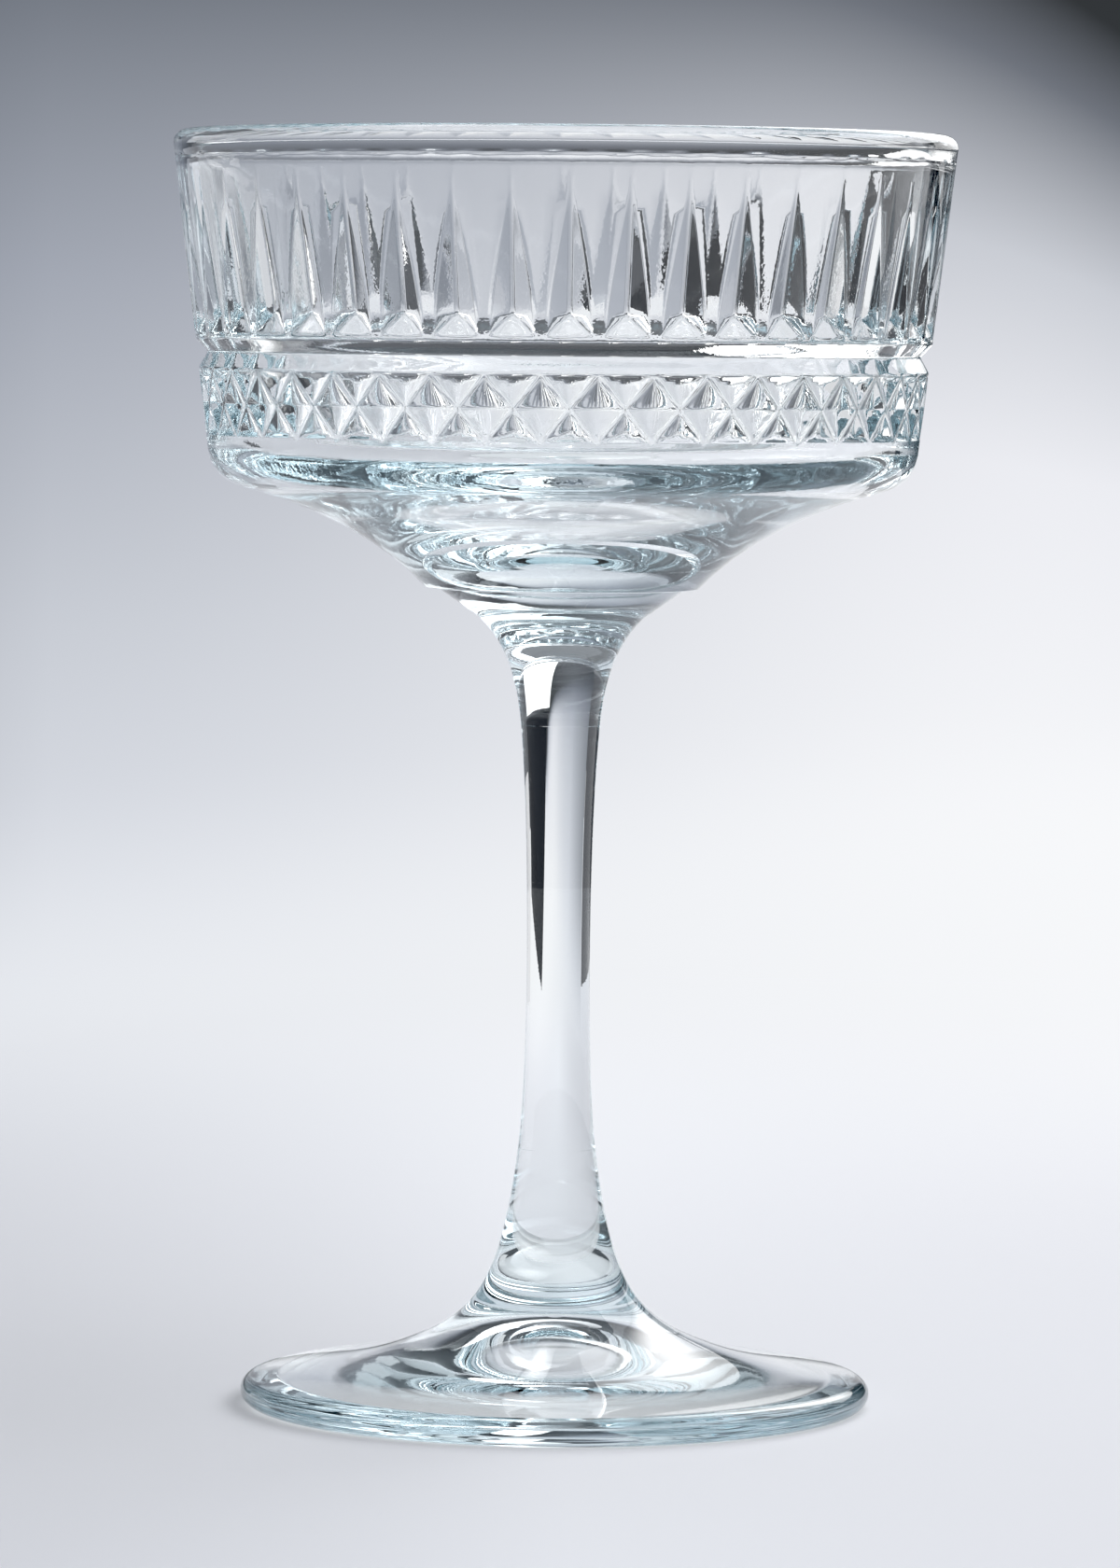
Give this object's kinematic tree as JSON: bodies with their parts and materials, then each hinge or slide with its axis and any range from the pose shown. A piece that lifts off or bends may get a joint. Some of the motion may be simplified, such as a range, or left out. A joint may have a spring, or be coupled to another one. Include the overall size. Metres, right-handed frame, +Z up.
{
  "type": "cocktail glass",
  "caption": "Stemmed cocktail coupe in clear pressed glass: a straight-sided saucer bowl cut with tapered flutes and a diamond band, on a boss, a waisted stem and a round foot.",
  "frame": {"origin": "centre of the foot's resting ring, on the surface that the glass stands on", "axes": "+Z up along the axis of the stem; -Y is the front, where a flute of the bowl is centred"},
  "size_m": [0.095, 0.095, 0.1542],
  "materials": {
    "clear_glass": "fire-polished clear soda-lime glass with a faint blue-green tint in its thick edges"
  },
  "bodies": {
    "root": {"bowl": "clear_glass", "boss": "clear_glass", "stem": "clear_glass", "foot": "clear_glass"}
  },
  "joints": []
}
